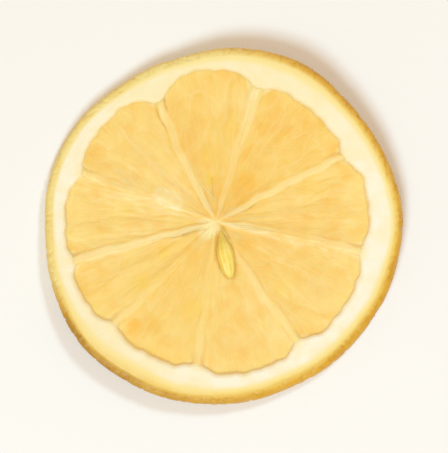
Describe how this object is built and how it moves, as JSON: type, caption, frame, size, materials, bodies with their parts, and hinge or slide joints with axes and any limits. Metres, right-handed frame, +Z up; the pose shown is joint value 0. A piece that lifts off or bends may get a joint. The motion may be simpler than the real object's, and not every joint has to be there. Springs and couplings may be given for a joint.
{
  "type": "dried lemon slice",
  "caption": "Thin bent round slice of dried lemon: yellow rind, pale pith ring, sunken segments between raised membranes, and a seed by the core.",
  "frame": {"origin": "under the middle of the slice's outline, at the level of the surface it rests on", "axes": "+Z up out of the shown face, +X and +Y across the slice, with the seed's segment towards -Y"},
  "size_m": [0.0522, 0.052, 0.005],
  "materials": {
    "dried_lemon": "satin, leathery dried fruit"
  },
  "bodies": {
    "root": {"lemon_slice": "dried_lemon"}
  },
  "joints": []
}
